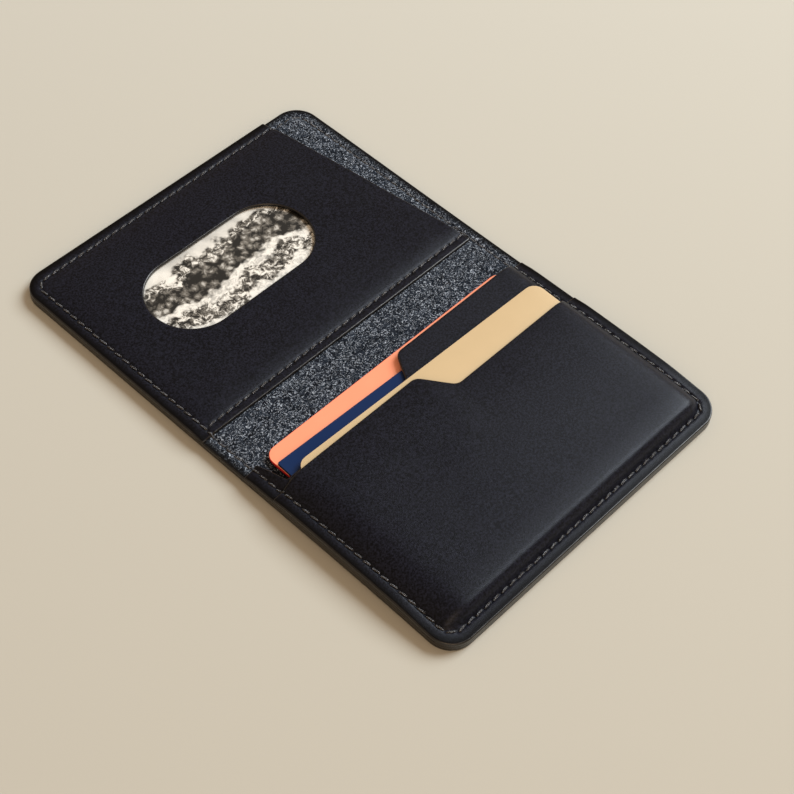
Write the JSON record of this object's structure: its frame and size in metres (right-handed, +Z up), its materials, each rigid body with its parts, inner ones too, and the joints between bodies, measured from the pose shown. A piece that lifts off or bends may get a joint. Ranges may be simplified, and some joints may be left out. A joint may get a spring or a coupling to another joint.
{
  "type": "bifold card wallet",
  "caption": "Slim two-panel leather card wallet lying open: an oval window pocket with a print on one side, tiered card pockets holding cards on the other.",
  "frame": {"origin": "under the middle of the open wallet, on the surface that it lies on; the fold is along the X axis", "axes": "+X along the fold, +Y across it towards the window panel, +Z up from the suede side"},
  "size_m": [0.101, 0.154, 0.0075],
  "materials": {
    "outer_leather": "smooth black full-grain leather with a soft sheen",
    "pocket_leather": "smooth black leather, satin",
    "suede": "dark blue-grey suede, fibrous",
    "thread": "black waxed thread",
    "coral_plastic": "satin coral card with a red edge",
    "navy_plastic": "satin navy card",
    "gold_plastic": "satin pale gold card",
    "print_paper": "black and white print on matt paper"
  },
  "bodies": {
    "spine": {"outer_cover_spine": "outer_leather", "lining_spine": "suede", "stitching_spine": "thread"},
    "card_panel": {"outer_cover_card_half": "outer_leather", "lining_card_half": "suede", "rear_card_pocket": "pocket_leather", "front_card_pocket": "pocket_leather", "stitching_card_half": "thread", "stitching_rear_pocket": "thread"},
    "window_panel": {"outer_cover_window_half": "outer_leather", "lining_window_half": "suede", "window_pocket": "pocket_leather", "stitching_window_half": "thread", "stitching_window_edge": "thread"},
    "coral_card_body": {"coral_card": "coral_plastic"},
    "navy_card_body": {"navy_card": "navy_plastic"},
    "gold_card_body": {"gold_card": "gold_plastic"},
    "print_body": {"window_print": "print_paper"}
  },
  "joints": [
    {"name": "card_fold", "type": "hinge", "parent": "spine", "child": "card_panel", "pos_m": [0, -0.00485, 0.002], "axis": [-1, 0, 0], "range_deg": [0, 90]},
    {"name": "window_fold", "type": "hinge", "parent": "spine", "child": "window_panel", "pos_m": [0, 0.00485, 0.002], "axis": [1, 0, 0], "range_deg": [0, 90]},
    {"name": "coral_card_slide", "type": "slide", "parent": "card_panel", "child": "coral_card_body", "axis": [0, -0.9998, -0.0183], "range_m": [-0.048, 0.0065]},
    {"name": "navy_card_slide", "type": "slide", "parent": "card_panel", "child": "navy_card_body", "axis": [0, -0.9998, -0.0183], "range_m": [-0.054, 0]},
    {"name": "gold_card_slide", "type": "slide", "parent": "card_panel", "child": "gold_card_body", "axis": [0, -0.9998, -0.0183], "range_m": [-0.048, 0]},
    {"name": "print_slide", "type": "slide", "parent": "window_panel", "child": "print_body", "axis": [-1, 0, 0], "range_m": [-0.078, 0]}
  ],
  "couplings": [
    {"joint": "window_fold", "follows": "card_fold", "ratio": 1}
  ]
}
